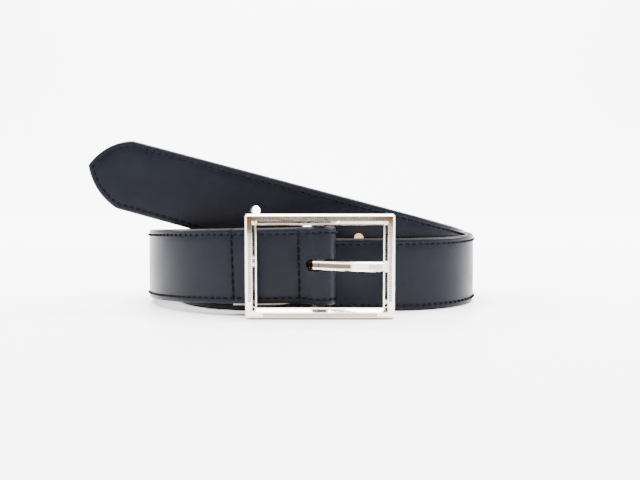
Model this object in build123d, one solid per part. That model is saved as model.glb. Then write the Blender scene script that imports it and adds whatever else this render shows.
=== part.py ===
"""A leather dress belt, coiled twice and standing on its edge, with a centre-bar buckle.

Millimetres, +Z up. The origin is the middle of the buckle frame's bottom face, on the table.
The buckle faces -Y. The strap's path is walked on its middle line in plan, from the end of the
turned-back flap, round the bar, twice round the coil and out along the rising tail to the tip.
The grain side is always on the left of the walk.
"""
from build123d import *
import os
from math import asin, atan2, cos, degrees, hypot, radians, sin, sqrt, tan

# ---- strap ----
STRAP_W = 35.0
FACE_T = 1.7
CORE_T = 0.8
LINING_T = 1.5
GLUE_GAP = 0.2
TURN_GAP = 0.5

# ---- coil, radii on the strap's middle line ----
LEFT_R = 64.0
BACK_RIGHT_R = 64.0
FRONT_RIGHT_R = 46.3
INNER_LEFT_R = 48.0
FRONT_RUN = 23.6
BACK_RUN = 38.4
INNER_FRONT_RUN = 57.5
LIFT_BEARING = -73.8

# ---- tail ----
TAIL_RUN = 144.8
TAIL_YAW = 7.5
TAIL_SLOPE = 14.6
BEND_FOOT = 2.0
BEND_SLOPE = 0.04
TAIL_FOOT = 14.7
POINT_LEN = 19.5
POINT_R = 30.0
HOLE_R = 2.35
HOLE_COUNT = 5
HOLE_PITCH = 26.3
FIRST_HOLE = 88.7

# ---- buckle frame ----
FRAME_W = 67.8
FRAME_H = 47.8
RAIL_W = 5.15
FRAME_T = 4.4
CORNER_R = 1.4
EDGE_BEVEL = 0.9
RIDGE_AT = 3.2
LIP_W = 0.55
LIP_DEPTH = 1.9
BACK_CHAMFER = 0.4
POCKET_W = 1.7
POCKET_DEPTH = 0.35
POCKET_END = 8.1
PASSAGE = 4.6
LUG_W = 7.0
LUG_WALL = 1.2
LUG_FLAT = 0.4
BAR_R = 2.0
BAR_SEAT = 2.6
SEAT_CLEAR = 0.15
SEAT_SIDE_CLEAR = 0.4

# ---- prong ----
PRONG_W = 4.4
PRONG_T = 2.3
NECK_W = 3.7
TAPER_END = 22.0
EYE_WALL = 3.3
EYE_CLEAR = 0.06
EYE_SEAM = 0.3
PRONG_OVERHANG = 1.6
PRONG_BEVEL = 0.6
CHANNEL_W = 2.2
CHANNEL_DEPTH = 0.3
CHANNEL_END = 14.6
ROOT_ANGLE = 8.0
WAIST_AT = 0.36
WAIST_DROP = 2.4
RISE_AT = 0.45
RISE_BOW = 0.2
HEEL_AT = 0.8
HEEL_DROP = 0.1
WAIST_BACK = 0.9
CROOK_AT = 0.85
CROOK_FRONT = 1.2
SEAM_BACK = 1.0

# ---- fold of the strap round the bar ----
FOLD_PLAY = 1.4
REVERSE_R = 8.0
FLAP_LEN = 41.0
SLOT_CLEAR = 0.6
SLOT_END = 6.6

# ---- thread ----
STITCH_INSET = 2.7
THREAD_W = 0.8
THREAD_T = 0.25
CROSS_SETBACK = 1.0
CROSS_LIFT = 0.02
FLAP_STITCH_INSET = 1.6
FLAP_MARGIN = 0.5

# ---- worked out from the sizes above ----
STRAP_T = FACE_T + CORE_T + LINING_T
HALF_T = STRAP_T / 2
FRONT_Y = FRAME_T / 2 + PASSAGE
BAR_Y = FRONT_Y + STRAP_T + GLUE_GAP / 2
FOLD_R = BAR_R + FOLD_PLAY + HALF_T
MID_Z = FRAME_H / 2
LIFT = MID_Z - STRAP_W / 2
EYE_R = BAR_R + EYE_CLEAR + EYE_WALL
REACH = 400.0
THROUGH = 20.0
BEND_STEPS = 10

# the fold leaves the bar's circle and eases into the flat strap along a reverse arc
SHIFT = HALF_T + GLUE_GAP / 2
EASE_X = sqrt((FOLD_R + REVERSE_R) ** 2 - (SHIFT + REVERSE_R) ** 2)
EASE_ANGLE = degrees(asin(EASE_X / (FOLD_R + REVERSE_R)))

# the flap lies along the inside of the strap that it is sewn to
FLAP_R = LEFT_R - 2 * SHIFT

# the tail bend nests inside the turn that it leaves
NEST = STRAP_T + TURN_GAP
TAIL_R = FRONT_RIGHT_R - NEST
RIGHT_X = BACK_RUN + BACK_RIGHT_R - FRONT_RUN
CENTRE_Y = FRONT_Y + HALF_T + LEFT_R
INNER_FRONT_Y = CENTRE_Y - FRONT_RIGHT_R
INNER_BACK_Y = INNER_FRONT_Y + 2 * INNER_LEFT_R
INNER_BACK_R = INNER_BACK_Y - CENTRE_Y
INNER_LEFT_X = RIGHT_X - FRONT_RIGHT_R - INNER_FRONT_RUN
INNER_BACK_RUN = RIGHT_X - NEST - INNER_BACK_R - INNER_LEFT_X


def turned(vector, angle):
    """Turn a plan vector by an angle in degrees."""
    c, s = cos(radians(angle)), sin(radians(angle))
    return (vector[0] * c - vector[1] * s, vector[0] * s + vector[1] * c)


class Walk:
    """A plan path of straights and arcs, with edges at any offset to its left."""

    def __init__(self, start, heading):
        self.place = start
        self.heading = heading
        self.legs = []

    def straight(self, length):
        d = turned((1, 0), self.heading)
        end = (self.place[0] + d[0] * length, self.place[1] + d[1] * length)
        self.legs.append(("line", self.place, end, self.heading, length))
        self.place = end
        return self

    def turn(self, radius, sweep):
        """A positive sweep turns left."""
        side = 1 if sweep > 0 else -1
        left = turned((0, 1), self.heading)
        centre = (self.place[0] + left[0] * radius * side, self.place[1] + left[1] * radius * side)
        self.legs.append(("arc", centre, radius, self.heading, sweep))
        self.heading += sweep
        left = turned((0, 1), self.heading)
        self.place = (centre[0] - left[0] * radius * side, centre[1] - left[1] * radius * side)
        return self

    def length(self):
        return sum(leg_length(leg) for leg in self.legs)

    def at(self, distance, offset=0.0):
        """The point at a distance along the path, and the heading there."""
        for leg in self.legs:
            if distance <= leg_length(leg) or leg is self.legs[-1]:
                return leg_point(leg, distance, offset)
            distance -= leg_length(leg)

    def edges(self, offset):
        made = []
        for leg in self.legs:
            span = leg_length(leg)
            ends = [leg_point(leg, span * part, offset)[0] for part in (0, 0.5, 1)]
            if leg[0] == "line":
                made.append(Line(ends[0], ends[2]))
            else:
                made.append(ThreePointArc(*ends))
        return made

    def band(self, left, right):
        """The face between two offsets."""
        ends = [[self.at(0, off)[0], self.at(self.length(), off)[0]] for off in (left, right)]
        caps = [Line(ends[0][0], ends[1][0]), Line(ends[0][1], ends[1][1])]
        return make_face(self.edges(left) + self.edges(right) + caps)


def leg_length(leg):
    return leg[4] if leg[0] == "line" else leg[2] * radians(abs(leg[4]))


def leg_point(leg, distance, offset):
    if leg[0] == "line":
        d = turned((1, 0), leg[3])
        left = turned((0, 1), leg[3])
        point = (leg[1][0] + d[0] * distance, leg[1][1] + d[1] * distance)
        return (point[0] + left[0] * offset, point[1] + left[1] * offset), leg[3]
    side = 1 if leg[4] > 0 else -1
    heading = leg[3] + side * degrees(distance / leg[2])
    left = turned((0, 1), heading)
    reach = leg[2] * side - offset
    return (leg[1][0] - left[0] * reach, leg[1][1] - left[1] * reach), heading


def lifted_walk():
    """The flap, the fold round the bar and the outer turn as far as the end of its back."""
    angle = degrees((FLAP_LEN - FRONT_RUN) / FLAP_R)
    out = turned((0, -FLAP_R), -angle)
    walk = Walk((out[0] - FRONT_RUN, out[1] + CENTRE_Y), -angle)
    walk.turn(FLAP_R, angle)
    walk.straight(FRONT_RUN - EASE_X)
    walk.turn(REVERSE_R, EASE_ANGLE)
    walk.turn(FOLD_R, -180 - 2 * EASE_ANGLE)
    walk.turn(REVERSE_R, EASE_ANGLE)
    walk.straight(FRONT_RUN - EASE_X)
    walk.turn(LEFT_R, -180)
    return walk.straight(BACK_RUN)


def bare_walk():
    """The outer turn past the flap, where the lining lies open."""
    covered = degrees((FLAP_LEN - FRONT_RUN) / FLAP_R) + FLAP_MARGIN
    out = turned((0, -LEFT_R), -covered)
    walk = Walk((out[0] - FRONT_RUN, out[1] + CENTRE_Y), -180 - covered)
    walk.turn(LEFT_R, covered - 180)
    return walk.straight(BACK_RUN)


def level_walk(start):
    """From the outer turn's back right corner round to the end of the inner turn's back."""
    walk = Walk(start, 0)
    walk.turn(BACK_RIGHT_R, -90)
    walk.turn(FRONT_RIGHT_R, -90)
    walk.straight(INNER_FRONT_RUN)
    walk.turn(INNER_LEFT_R, -180)
    return walk.straight(INNER_BACK_RUN)


def rising_walk(start):
    """The inner turn's right end, where the strap starts to leave the table."""
    walk = Walk(start, 0)
    walk.turn(INNER_BACK_R, -90)
    return walk.turn(TAIL_R, -TAIL_YAW)


OUTER = lifted_walk()
BARE = bare_walk()
LEVEL = level_walk(OUTER.place)
RISING = rising_walk(LEVEL.place)
BEND = Walk(RISING.place, RISING.heading).turn(TAIL_R, -90)
TAIL = Walk(BEND.place, BEND.heading).straight(TAIL_RUN)
BENDING_LEN = BEND.length()
RISE = tan(radians(TAIL_SLOPE))
AWAY = turned((1, 0), LIFT_BEARING)
LIFT_RUN = (FRONT_Y - OUTER.place[1]) * AWAY[1] - OUTER.place[0] * AWAY[0]


def plan_plane(origin, bearing):
    """An upright plane through a plan point: local x runs along the bearing, local y is up."""
    d = turned((1, 0), bearing)
    return Plane(origin=(*origin, 0), x_dir=(*d, 0), z_dir=(d[1], -d[0], 0))


def upright_prism(points, origin, bearing):
    """A polygon drawn on an upright plane, pushed a long way both ways."""
    outline = Polyline(*points, close=True)
    face = plan_plane(origin, bearing) * make_face(outline)
    return extrude(face, REACH / 2, both=True)


def lifted_part(walk, left, right, low, high):
    """The part that climbs to the buckle in one tipped plane."""
    hinge = (-AWAY[0] * LIFT_RUN, FRONT_Y - AWAY[1] * LIFT_RUN)
    slope = LIFT / LIFT_RUN
    far = REACH / 2
    points = [(-far, low), (0, low), (far, low + far * slope)]
    points += [(far, high + far * slope), (0, high), (-far, high)]
    band = extrude(walk.band(left, right), REACH / 2)
    return band & upright_prism(points, hinge, LIFT_BEARING)


def level_part(left, right, low, high):
    return Pos(0, 0, low) * extrude(LEVEL.band(left, right), high - low)


def rising_part(left, right, low, high):
    """Climbs from the table to the foot of the tail bend."""
    start = LEVEL.place
    end = RISING.place
    bearing = RISING.heading
    d = turned((1, 0), bearing)
    run = (end[0] - start[0]) * d[0] + (end[1] - start[1]) * d[1]
    climb = BEND_FOOT / run
    points = [(-run, low), (0, low), (run, low + climb * run)]
    points += [(run, high + climb * run), (0, high), (-run, high)]
    band = extrude(RISING.band(left, right), REACH / 2)
    return band & upright_prism(points, start, bearing)


def bend_height(distance):
    """The strap's bottom edge along the tail bend: a curve that leaves and arrives smoothly."""
    t = distance / BENDING_LEN
    start = BEND_FOOT * (1 - 3 * t ** 2 + 2 * t ** 3) + TAIL_FOOT * (3 * t ** 2 - 2 * t ** 3)
    return start + BENDING_LEN * (BEND_SLOPE * (t - 2 * t ** 2 + t ** 3) + RISE * (t ** 3 - t ** 2))


def bend_stretch(distance):
    """How much taller than wide the sloping strap stands."""
    return 1 + (1 / cos(radians(TAIL_SLOPE)) - 1) * distance / BENDING_LEN


def bend_part(left, right, low, high):
    """The twisting bend from level to the tail's slope, lofted between upright sections."""
    sections = []
    for step in range(BEND_STEPS + 1):
        distance = BENDING_LEN * step / BEND_STEPS
        near, heading = BEND.at(distance, right)
        plane = plan_plane(near, heading + 90)
        foot = bend_height(distance)
        stretch = bend_stretch(distance)
        corners = [(0, foot + low * stretch), (left - right, foot + low * stretch)]
        corners += [(left - right, foot + high * stretch), (0, foot + high * stretch)]
        sections.append(plane * make_face(Polyline(*corners, close=True)))
    return loft(sections)


def tail_place(along, across=0.0):
    """A point on the tail's own upright plane: along and across the sloping strap from its foot."""
    c, s = cos(radians(TAIL_SLOPE)), sin(radians(TAIL_SLOPE))
    centre = TAIL_FOOT + STRAP_W / 2 / c
    return (along * c - across * s, centre + along * s + across * c)


TAIL_LEN = TAIL_RUN / cos(radians(TAIL_SLOPE))


def point_outline(inset):
    """The tail's side view with its curved point, drawn in by an inset."""
    half = STRAP_W / 2
    shoulder = (TAIL_LEN - POINT_LEN, half)
    chord = hypot(POINT_LEN, half)
    middle = ((shoulder[0] + TAIL_LEN) / 2, half / 2)
    sink = sqrt(POINT_R ** 2 - (chord / 2) ** 2)
    centre = (middle[0] - half / chord * sink, middle[1] - POINT_LEN / chord * sink)
    radius = POINT_R - inset
    edge = half - inset
    tip = centre[0] + sqrt(radius ** 2 - centre[1] ** 2)
    corner = centre[0] + sqrt(radius ** 2 - (edge - centre[1]) ** 2)
    aim = (atan2(edge - centre[1], corner - centre[0]) + atan2(-centre[1], tip - centre[0])) / 2
    mid = (centre[0] + radius * cos(aim), centre[1] + radius * sin(aim))
    root = tan(radians(TAIL_SLOPE)) * edge
    upper = [tail_place(root, edge), tail_place(corner, edge), tail_place(*mid), tail_place(tip)]
    lower = [tail_place(-root, -edge), tail_place(corner, -edge), tail_place(mid[0], -mid[1])]
    edges = [Line(upper[0], upper[1]), ThreePointArc(*upper[1:])]
    edges += [ThreePointArc(upper[3], lower[2], lower[1]), Line(lower[1], lower[0])]
    edges += [Line(lower[0], upper[0])]
    return make_face(edges)


def tail_part(left, right, outline):
    """The straight tail: its plan band cut to the side view."""
    plane = plan_plane(TAIL.legs[0][1], TAIL.heading)
    side = extrude(plane * outline, REACH / 2, both=True)
    return extrude(TAIL.band(left, right), REACH / 2) & side


def strip(walk, left, right, low, high):
    """A strip of the strap from the start of a first walk to the foot of the tail."""
    parts = lifted_part(walk, left, right, low, high) + level_part(left, right, low, high)
    return parts + rising_part(left, right, low, high) + bend_part(left, right, low, high)


def prong_slot():
    """The oblong slot that the prong swings in, punched through both sides of the fold."""
    width = PRONG_W + 2 * SLOT_CLEAR
    left = -SLOT_END + width / 2
    right = FOLD_R + HALF_T + THROUGH
    block = Box(right - left, THROUGH * 2, width, align=(Align.MIN, Align.CENTER, Align.CENTER))
    end = Rot(90, 0, 0) * Cylinder(width / 2, THROUGH * 2)
    return Pos(left, BAR_Y, MID_Z) * (block + end)


def slot_guard():
    """The slot, without the turns that lie behind the fold."""
    behind = BAR_Y + FOLD_R + HALF_T + THREAD_T
    front = Pos(0, behind, MID_Z) * Box(REACH, REACH, REACH, align=(Align.CENTER, Align.MAX, Align.CENTER))
    return prong_slot() & front


def prong_holes():
    """The row of punched holes on the strap's centre line."""
    holes = Part()
    for number in range(HOLE_COUNT):
        back = FIRST_HOLE + HOLE_PITCH * number
        place, heading, height = centre_line(back)
        drill = Cylinder(HOLE_R, THROUGH / 2)
        holes += plan_plane(place, heading) * Pos(0, height, 0) * drill
    return holes


def centre_line(back):
    """The centre line's plan point, heading and height at a distance back from the tip."""
    plan = (TAIL_LEN - back) * cos(radians(TAIL_SLOPE))
    if plan >= 0:
        place, heading = TAIL.at(plan)
        return place, heading, tail_place(TAIL_LEN - back)[1]
    distance = BENDING_LEN + plan
    place, heading = BEND.at(distance)
    return place, heading, bend_height(distance) + STRAP_W / 2 * bend_stretch(distance)


def leather(left, right):
    """One full layer of the strap, with its slot and holes."""
    body = strip(OUTER, left, right, 0, STRAP_W) + tail_part(left, right, point_outline(0))
    return body - slot_guard() - prong_holes()


def edge_thread(walk, left, right):
    """A run of thread along both edges and round the point."""
    near = STITCH_INSET - THREAD_W / 2
    far = STITCH_INSET + THREAD_W / 2
    lower = strip(walk, left, right, near, far)
    upper = strip(walk, left, right, STRAP_W - far, STRAP_W - near)
    ring = point_outline(near) - point_outline(far)
    return lower + upper + tail_part(left, right, ring)


def thread_stick(distance):
    """A line of thread across the strap's grain side at a distance along the first walk."""
    place, heading = OUTER.at(distance, HALF_T + THREAD_T / 2 + CROSS_LIFT)
    stick = Box(THREAD_W, STRAP_W - 2 * (STITCH_INSET + THREAD_W), THREAD_T)
    middle = lifted_height(place) + STRAP_W / 2
    return plan_plane(place, heading) * Pos(0, middle, 0) * stick


def lifted_height(place):
    """The strap's bottom edge at a plan point of the lifted part."""
    return LIFT + LIFT / LIFT_RUN * (place[0] * AWAY[0] + (place[1] - FRONT_Y) * AWAY[1])


def cross_thread(from_bar):
    """Thread across the doubled strap, on the flap and on the front, at a distance from the bar."""
    fold = OUTER.legs[2:5]
    around = sum(leg_length(leg) for leg in fold)
    to_ease = FLAP_LEN - EASE_X
    ratio = LEFT_R / FLAP_R if from_bar > FRONT_RUN else 1
    straight = min(from_bar, FRONT_RUN) - EASE_X
    front = to_ease + around + straight + max(0, from_bar - FRONT_RUN) * ratio
    return Part() + [thread_stick(FLAP_LEN - from_bar), thread_stick(front)]


def rail_profile():
    """The frame's section, from its outer edge inwards, front face at -Y."""
    front = -FRAME_T / 2
    back = FRAME_T / 2
    return [
        (0, back - BACK_CHAMFER),
        (0, front + EDGE_BEVEL),
        (EDGE_BEVEL, front),
        (RIDGE_AT, front),
        (RAIL_W - LIP_W, front + LIP_DEPTH),
        (RAIL_W, front + LIP_DEPTH),
        (RAIL_W, back - BACK_CHAMFER),
        (RAIL_W - BACK_CHAMFER, back),
        (BACK_CHAMFER, back),
    ]


def frame_rail(length, inside, axis_turn):
    """One mitred rail, made along its own length and turned into place about the middle."""
    plane = Plane(origin=(0, 0, inside), x_dir=(0, 0, -1), z_dir=(1, 0, 0))
    section = make_face(Polyline(*rail_profile(), close=True))
    bar = extrude(plane * section, length / 2, both=True)
    half = length / 2
    wedge = [(-half, inside), (half, inside), (half - RAIL_W, inside - RAIL_W)]
    wedge += [(RAIL_W - half, inside - RAIL_W)]
    mitre = extrude(Plane.XZ * make_face(Polyline(*wedge, close=True)), FRAME_T, both=True)
    return Rot(0, axis_turn, 0) * (bar & mitre)


def frame_lug(side):
    """The lug behind the top or bottom rail that carries one end of the bar."""
    depth = BAR_Y + BAR_R + LUG_WALL - FRAME_T / 2
    block = Box(LUG_W, depth, RAIL_W, align=(Align.CENTER, Align.MIN, Align.CENTER))
    block = fillet(block.edges().filter_by(Axis.Z).group_by(Axis.Y)[-1], (LUG_W - LUG_FLAT) / 2)
    return Pos(0, FRAME_T / 2, side * (FRAME_H - RAIL_W) / 2) * block


def buckle_frame():
    """The cast frame: four mitred rails, reeded pockets, bar lugs and the prong's seat."""
    body = Part()
    for turn in (0, 180):
        body += frame_rail(FRAME_W, FRAME_H / 2, turn)
    for turn in (90, 270):
        body += frame_rail(FRAME_H, FRAME_W / 2, turn)
    outside = extrude(Plane.XZ * RectangleRounded(FRAME_W, FRAME_H, CORNER_R), FRAME_T, both=True)
    body = body & outside
    body += [frame_lug(-1), frame_lug(1)]
    middle = EDGE_BEVEL + (RIDGE_AT - EDGE_BEVEL) / 2
    for side in (-1, 1):
        row = Box(FRAME_W - 2 * POCKET_END, 2 * POCKET_DEPTH, POCKET_W)
        column = Box(POCKET_W, 2 * POCKET_DEPTH, FRAME_H - 2 * POCKET_END)
        body -= Pos(0, -FRAME_T / 2, side * (FRAME_H / 2 - middle)) * row
        body -= Pos(side * (FRAME_W / 2 - middle), -FRAME_T / 2, 0) * column
    body -= Pos(0, BAR_Y, 0) * Cylinder(BAR_R, bar_length())
    body -= prong_seat()
    return Pos(0, 0, MID_Z) * body


def bar_length():
    return FRAME_H - 2 * RAIL_W + 2 * BAR_SEAT


def seat_y():
    """The floor of the prong's seat on the right rail."""
    return -FRAME_T / 2 + LIP_DEPTH


def prong_seat():
    """The shallow notch that the prong's tip drops into."""
    width = PRONG_W + 2 * SEAT_SIDE_CLEAR
    reach = PRONG_OVERHANG + SEAT_SIDE_CLEAR
    left = FRAME_W / 2 - RAIL_W
    notch = Box(2 * reach, FRAME_T, width, align=(Align.CENTER, Align.MAX, Align.CENTER))
    return Pos(left, seat_y(), 0) * notch


def centre_bar():
    return Pos(0, BAR_Y, MID_Z) * Cylinder(BAR_R, bar_length())


def prong_front(tip_x, over):
    """The corners of the prong's front: its waist behind the frame, its heel and its round end."""
    return (tip_x * WAIST_AT, over + WAIST_DROP), (tip_x * HEEL_AT, over + HEEL_DROP), (tip_x, over)


def prong():
    """A flat prong whose end is curled round the bar."""
    tip_x = FRAME_W / 2 - RAIL_W + PRONG_OVERHANG
    under = seat_y() - SEAT_CLEAR
    over = under - PRONG_T
    round_r = PRONG_T / 2
    root = radians(ROOT_ANGLE)
    start = (-EYE_R * sin(root), BAR_Y - EYE_R * cos(root))
    waist, heel, tip = prong_front(tip_x, over)
    rise = (waist[0] * RISE_AT, (start[1] + waist[1]) / 2 - RISE_BOW)
    inner_heel = (heel[0], under + HEEL_DROP / 2)
    inner_waist = (waist[0] + WAIST_BACK, waist[1] + PRONG_T + HEEL_DROP)
    crook = (EYE_R * CROOK_AT, BAR_Y - CROOK_FRONT)
    edges = [
        ThreePointArc(start, rise, waist),
        Line(waist, heel),
        Line(heel, (tip_x - round_r, over)),
        ThreePointArc((tip_x - round_r, over), (tip_x, over + round_r), (tip_x - round_r, under)),
        Line((tip_x - round_r, under), inner_heel),
        Line(inner_heel, inner_waist),
        Line(inner_waist, crook),
        Line(crook, start),
    ]
    shank = extrude(make_face(edges), PRONG_W / 2, both=True)
    eye = Pos(0, BAR_Y, 0) * Cylinder(EYE_R, PRONG_W)
    body = shank + eye
    body -= Pos(0, BAR_Y, 0) * Cylinder(BAR_R + EYE_CLEAR, 2 * PRONG_W)
    seam = Box(EYE_R, EYE_SEAM, 2 * PRONG_W, align=(Align.MAX, Align.CENTER, Align.CENTER))
    body -= Pos(-BAR_R / 2, BAR_Y + SEAM_BACK, 0) * seam
    body -= [prong_bevel(waist, heel, side) for side in (-1, 1)]
    body -= [prong_bevel(heel, tip, side) for side in (-1, 1)]
    body -= prong_channel(start, rise, waist, heel)
    nose = extrude(Plane.XZ * prong_outline(tip_x), REACH / 2, both=True)
    return Pos(0, 0, MID_Z) * (body & nose)


def prong_channel(start, rise, waist, heel):
    """The shallow channel down the prong's curved neck."""
    share = (CHANNEL_END - waist[0]) / (heel[0] - waist[0])
    end = (CHANNEL_END, waist[1] + (heel[1] - waist[1]) * share)
    front = [(x, y - CHANNEL_DEPTH) for x, y in (start, rise, waist, end)]
    floor = [(x, y + CHANNEL_DEPTH) for x, y in (start, rise, waist, end)]
    edges = [ThreePointArc(*front[:3]), Line(front[2], front[3]), Line(front[3], floor[3])]
    edges += [Line(floor[3], floor[2]), ThreePointArc(floor[2], floor[1], floor[0])]
    edges += [Line(floor[0], front[0])]
    return extrude(make_face(edges), CHANNEL_W / 2, both=True)


def along_segment(start, end):
    """The place whose x axis runs along a plan segment from its start."""
    bearing = degrees(atan2(end[1] - start[1], end[0] - start[0]))
    return Pos(start[0], start[1], 0) * Rot(0, 0, bearing)


def prong_bevel(start, end, side):
    """The corner cut off one long edge of the prong's front."""
    length = hypot(end[0] - start[0], end[1] - start[1])
    width = PRONG_BEVEL * sqrt(2)
    block = Box(length, width, width, align=(Align.MIN, Align.CENTER, Align.CENTER))
    return along_segment(start, end) * Pos(0, 0, side * PRONG_W / 2) * Rot(45, 0, 0) * block


def prong_outline(tip_x):
    """The prong's front view: a neck that widens to straight sides, and two round ends."""
    half = PRONG_W / 2
    neck = NECK_W / 2
    left = neck - EYE_R
    right = tip_x - half
    upper = [(left, neck), (TAPER_END, half), (right, half)]
    lower = [(x, -z) for x, z in reversed(upper)]
    ends = Pos(right, 0) * Circle(half) + Pos(left, 0) * Circle(neck)
    return make_face(Polyline(*upper, *lower, close=True)) + ends


def pieces():
    """Every node's name and shape."""
    grain = HALF_T
    under_face = grain - FACE_T
    under_core = under_face - CORE_T
    yield "strap_face", leather(grain, under_face)
    yield "strap_core", leather(under_face, under_core)
    yield "strap_lining", leather(under_core, -HALF_T)
    yield "needle_thread", edge_thread(OUTER, grain + THREAD_T, grain)
    yield "bobbin_thread", edge_thread(BARE, -HALF_T, -HALF_T - THREAD_T)
    yield "bar_cross_stitch", cross_thread(EASE_X + CROSS_SETBACK)
    yield "flap_cross_stitch", cross_thread(FLAP_LEN - FLAP_STITCH_INSET)
    yield "buckle_frame", buckle_frame()
    yield "centre_bar", centre_bar()
    yield "prong", prong()


def main():
    os.makedirs("parts", exist_ok=True)
    for name, shape in pieces():
        export_step(shape, f"parts/{name}.step")
    ways = (OUTER, LEVEL, RISING, BEND)
    print("strap length with flap", round(sum(way.length() for way in ways) + TAIL_LEN, 1))


main()
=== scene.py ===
"""A coiled leather dress belt: strap, stitching, buckle and a plain studio around them."""
from math import asin, atan2, cos, degrees, exp, hypot, pi, radians, sin, sqrt, tan

import bmesh
import bpy
import numpy as np
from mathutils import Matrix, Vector


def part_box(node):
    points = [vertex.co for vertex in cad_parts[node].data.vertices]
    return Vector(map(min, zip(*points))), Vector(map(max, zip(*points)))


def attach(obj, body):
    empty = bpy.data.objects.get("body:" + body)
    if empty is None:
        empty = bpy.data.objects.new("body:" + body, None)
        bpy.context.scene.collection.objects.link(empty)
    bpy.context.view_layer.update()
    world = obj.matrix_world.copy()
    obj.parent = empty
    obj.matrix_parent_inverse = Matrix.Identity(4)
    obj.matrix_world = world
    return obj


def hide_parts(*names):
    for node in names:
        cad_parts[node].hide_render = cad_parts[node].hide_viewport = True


bl_info = {
    "name": "Coiled dress belt",
    "version": (1, 0, 0),
    "blender": (4, 5, 0),
    "location": "View3D > Sidebar > Belt",
    "description": "Builds a coiled leather dress belt round its packed frame",
    "category": "Object",
}

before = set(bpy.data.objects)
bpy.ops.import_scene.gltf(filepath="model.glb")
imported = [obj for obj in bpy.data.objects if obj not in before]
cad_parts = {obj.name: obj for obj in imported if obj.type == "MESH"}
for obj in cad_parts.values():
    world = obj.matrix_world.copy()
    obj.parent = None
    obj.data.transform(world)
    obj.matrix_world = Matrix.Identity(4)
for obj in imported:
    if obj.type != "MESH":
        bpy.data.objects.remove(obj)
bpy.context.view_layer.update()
MM = 0.001

# ---- strap, coil, tail and fold, in millimetres, as in the solid model ----
STRAP_W = 35.0
STRAP_T = 4.0
FACE_T = 1.7
CORE_T = 0.8
GLUE_GAP = 0.2
TURN_GAP = 0.5
LEFT_R = 64.0
BACK_RIGHT_R = 64.0
FRONT_RIGHT_R = 46.3
INNER_LEFT_R = 48.0
FRONT_RUN = 23.6
BACK_RUN = 38.4
INNER_FRONT_RUN = 57.5
LIFT_BEARING = -73.8
TAIL_RUN = 144.8
TAIL_YAW = 7.5
TAIL_SLOPE = 14.6
BEND_FOOT = 2.0
BEND_SLOPE = 0.04
TAIL_FOOT = 14.7
POINT_LEN = 19.5
POINT_R = 30.0
HOLE_R = 2.35
HOLE_COUNT = 5
HOLE_PITCH = 26.3
FIRST_HOLE = 88.7
BAR_R = 2.0
FOLD_PLAY = 1.4
REVERSE_R = 8.0
FLAP_LEN = 41.0
FLAP_STITCH_INSET = 1.6
CROSS_SETBACK = 1.0
SLOT_END = 6.6
SLOT_CLEAR = 0.6
PRONG_W = 4.4
STITCH_INSET = 2.7
POCKET_DEPTH = 0.35
POCKET_END = 8.1

# ---- how the leather lies ----
FLAP_DROP = 1.3
DROP_RUN = 12
SPREAD_TOP = 0.45
SPREAD_FOOT = 1.0
SPREAD_RUN = 17
SWAY_START = 20
SWAY_EASE = 60
SWAY_DEPTH = 0.09
SWAY_ALONG = 21
SWAY_ACROSS = 13
ROLL_DEPTH = 0.07
ROLL_ALONG = 37
ROLL_START = 1.3
ROLL_ACROSS = 9
ROLL_DRIFT = 50
GATHER_DEPTH = 0.16
GATHER_RUN = 1.2
CREASE_DEPTH = 0.30
CREASE_RUN = 0.75
EDGE_CLEAR = 0.3
EDGE_PAINT = 0.34

# ---- stitches, in millimetres: heights on the leather, and shares of the thread ----
CROSS_PITCH = 3.55
CROSS_MARGIN = 0.55
CROSS_POINTS = 15
NEEDLE_SEAT = 1.84
BOBBIN_SEAT = -1.88
CROSS_SEAT = 1.78
BARE_MARGIN = 1.0
STITCH_DIP = 0.45
STITCH_CREST = 0.5
CROSS_DIP = 0.4
CROSS_REACH = 1.45

# ---- ribs of the frame and of the prong, in millimetres ----
RAIL_MIDDLE = 2.05
RIB_SET = 0.34
RIB_MARGIN = 0.35
RIB_R = 0.5
RIB_HALF = 0.75
PATCH_R = 0.32
PATCH_HALF = 1.0
PATCH = ((22.6, 0.48), (24.4, 0.22), (27.9, 0.15))

# ---- mesh spacing and cutting, in millimetres, and counts of points ----
# FOLD_STEPS gives closer columns on the legs next to and round the bar, by their number in the walk
FOLD_STEPS = {2: 0.7, 3: 0.45, 4: 0.7}
PLAIN_STEP = 2.0
COLUMN_GAP = 0.3
CREASE_STEPS = (-1.6, -1.0, -0.6, -0.3, 0.0, 0.3, 0.6, 1.0, 1.6)
CREASE_CLEAR = 1.9
TIP_RUN = 30.0
TIP_COLUMNS = 26
TABLE_MARGIN = 20.0
WINDOW = 13
CUT_SPARE = 0.6
HOLE_REACH = 5
SLOT_POINTS = 17
SEAM_MERGE = 0.002

# ---- worked out ----
HALF_W = STRAP_W / 2
HALF_T = STRAP_T / 2
NODE_BOX = {name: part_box(name) for name in ("buckle_frame", "centre_bar", "prong")}
BAR_Y = (NODE_BOX["centre_bar"][0][1] + NODE_BOX["centre_bar"][1][1]) / 2 / MM
MID_Z = (NODE_BOX["buckle_frame"][0][2] + NODE_BOX["buckle_frame"][1][2]) / 2 / MM
FRONT_Y = BAR_Y - STRAP_T - GLUE_GAP / 2
LIFT = MID_Z - HALF_W
FOLD_R = BAR_R + FOLD_PLAY + HALF_T
SHIFT = HALF_T + GLUE_GAP / 2
EASE_X = sqrt((FOLD_R + REVERSE_R) ** 2 - (SHIFT + REVERSE_R) ** 2)
EASE_ANGLE = degrees(asin(EASE_X / (FOLD_R + REVERSE_R)))
FLAP_R = LEFT_R - 2 * SHIFT
NEST = STRAP_T + TURN_GAP
TAIL_R = FRONT_RIGHT_R - NEST
RIGHT_X = BACK_RUN + BACK_RIGHT_R - FRONT_RUN
CENTRE_Y = FRONT_Y + HALF_T + LEFT_R
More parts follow.
